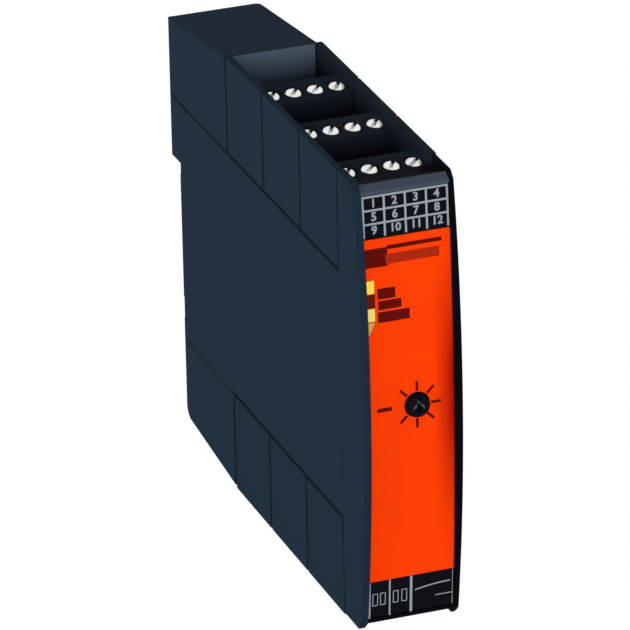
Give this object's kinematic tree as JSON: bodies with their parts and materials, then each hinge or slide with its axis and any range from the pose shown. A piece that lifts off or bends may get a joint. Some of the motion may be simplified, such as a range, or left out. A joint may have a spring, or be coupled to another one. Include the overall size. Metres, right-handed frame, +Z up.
{
  "type": "safety relay",
  "caption": "Slim rail-mounted safety relay with plug-in screw terminals above and below, a curved orange front panel, indicator windows and a selector knob",
  "frame": {"origin": "centre of the rail seat: midway across the width, on the face that lies on the rail, at the height of the rail's centre line", "axes": "+X to the right as seen from the front, +Y to the rear, towards the rail and the wall, +Z up; the operating front faces -Y"},
  "size_m": [0.0226, 0.121, 0.1046],
  "materials": {
    "housing_plastic": "fine matt grain",
    "terminal_plastic": "fine matt grain",
    "frame_plastic": "fine matt grain",
    "panel_orange": "satin printed film",
    "marking_black": "satin printed film",
    "light_guide": "clear moulding",
    "lamp": "clear",
    "knob_black": "smooth",
    "switch_black": "moulded",
    "board_green": "solder mask",
    "relay_case": "moulded",
    "transformer_iron": "varnished",
    "capacitor_can": "bright",
    "chip_black": "moulded",
    "latch_plastic": "moulded",
    "spring_steel": "drawn",
    "screw_steel": "bright zinc plate",
    "clamp_steel": "zinc plate",
    "contact_brass": "tinned",
    "header_plastic": "moulded"
  },
  "bodies": {
    "relay_housing": {"housing": "housing_plastic", "side_cover": "housing_plastic", "front_frame": "frame_plastic", "front_panel": "panel_orange", "marking_strip_top": "marking_black", "marking_strip_bottom": "marking_black", "light_guides": "light_guide", "indicator_leds": "lamp", "rotary_switch": "switch_black", "main_board": "board_green", "front_board": "board_green", "board_connector": "switch_black", "transformer": "transformer_iron", "capacitors": "capacitor_can", "controller_chips": "chip_black", "latch_spring": "spring_steel", "relay_1": "relay_case", "relay_2": "relay_case", "relay_3": "relay_case", "header_strip_top_1": "header_plastic", "header_pins_top_1": "contact_brass", "header_strip_top_2": "header_plastic", "header_pins_top_2": "contact_brass", "header_strip_top_3": "header_plastic", "header_pins_top_3": "contact_brass", "header_strip_bottom_1": "header_plastic", "header_pins_bottom_1": "contact_brass", "header_strip_bottom_2": "header_plastic", "header_pins_bottom_2": "contact_brass", "header_strip_bottom_3": "header_plastic", "header_pins_bottom_3": "contact_brass"},
    "knob": {"selector_knob": "knob_black"},
    "latch": {"rail_latch": "latch_plastic"},
    "terminal_block_top_1": {"terminal_body_top_1": "terminal_plastic", "terminal_screws_top_1": "screw_steel", "terminal_clamps_top_1": "clamp_steel"},
    "terminal_block_top_2": {"terminal_body_top_2": "terminal_plastic", "terminal_screws_top_2": "screw_steel", "terminal_clamps_top_2": "clamp_steel"},
    "terminal_block_top_3": {"terminal_body_top_3": "terminal_plastic", "terminal_screws_top_3": "screw_steel", "terminal_clamps_top_3": "clamp_steel"},
    "terminal_block_bottom_1": {"terminal_body_bottom_1": "terminal_plastic", "terminal_screws_bottom_1": "screw_steel", "terminal_clamps_bottom_1": "clamp_steel"},
    "terminal_block_bottom_2": {"terminal_body_bottom_2": "terminal_plastic", "terminal_screws_bottom_2": "screw_steel", "terminal_clamps_bottom_2": "clamp_steel"},
    "terminal_block_bottom_3": {"terminal_body_bottom_3": "terminal_plastic", "terminal_screws_bottom_3": "screw_steel", "terminal_clamps_bottom_3": "clamp_steel"}
  },
  "joints": [
    {"name": "knob_turn", "type": "hinge", "parent": "relay_housing", "child": "knob", "pos_m": [0.0018, -0.1129, 0.0038], "axis": [0, 1, 0], "range_deg": [0, 315]},
    {"name": "latch_slide", "type": "slide", "parent": "relay_housing", "child": "latch", "axis": [0, 0, -1], "range_m": [0, 0.004], "stiffness_N_per_m": 1500, "springref_m": -0.003, "deforming": ["latch_spring"]},
    {"name": "unplug_top_1", "type": "slide", "parent": "relay_housing", "child": "terminal_block_top_1", "axis": [0, 0, 1], "range_m": [0, 0.008]},
    {"name": "unplug_top_2", "type": "slide", "parent": "relay_housing", "child": "terminal_block_top_2", "axis": [0, 0, 1], "range_m": [0, 0.008]},
    {"name": "unplug_top_3", "type": "slide", "parent": "relay_housing", "child": "terminal_block_top_3", "axis": [0, 0, 1], "range_m": [0, 0.008]},
    {"name": "unplug_bottom_1", "type": "slide", "parent": "relay_housing", "child": "terminal_block_bottom_1", "axis": [0, 0, -1], "range_m": [0, 0.008]},
    {"name": "unplug_bottom_2", "type": "slide", "parent": "relay_housing", "child": "terminal_block_bottom_2", "axis": [0, 0, -1], "range_m": [0, 0.008]},
    {"name": "unplug_bottom_3", "type": "slide", "parent": "relay_housing", "child": "terminal_block_bottom_3", "axis": [0, 0, -1], "range_m": [0, 0.008]}
  ]
}
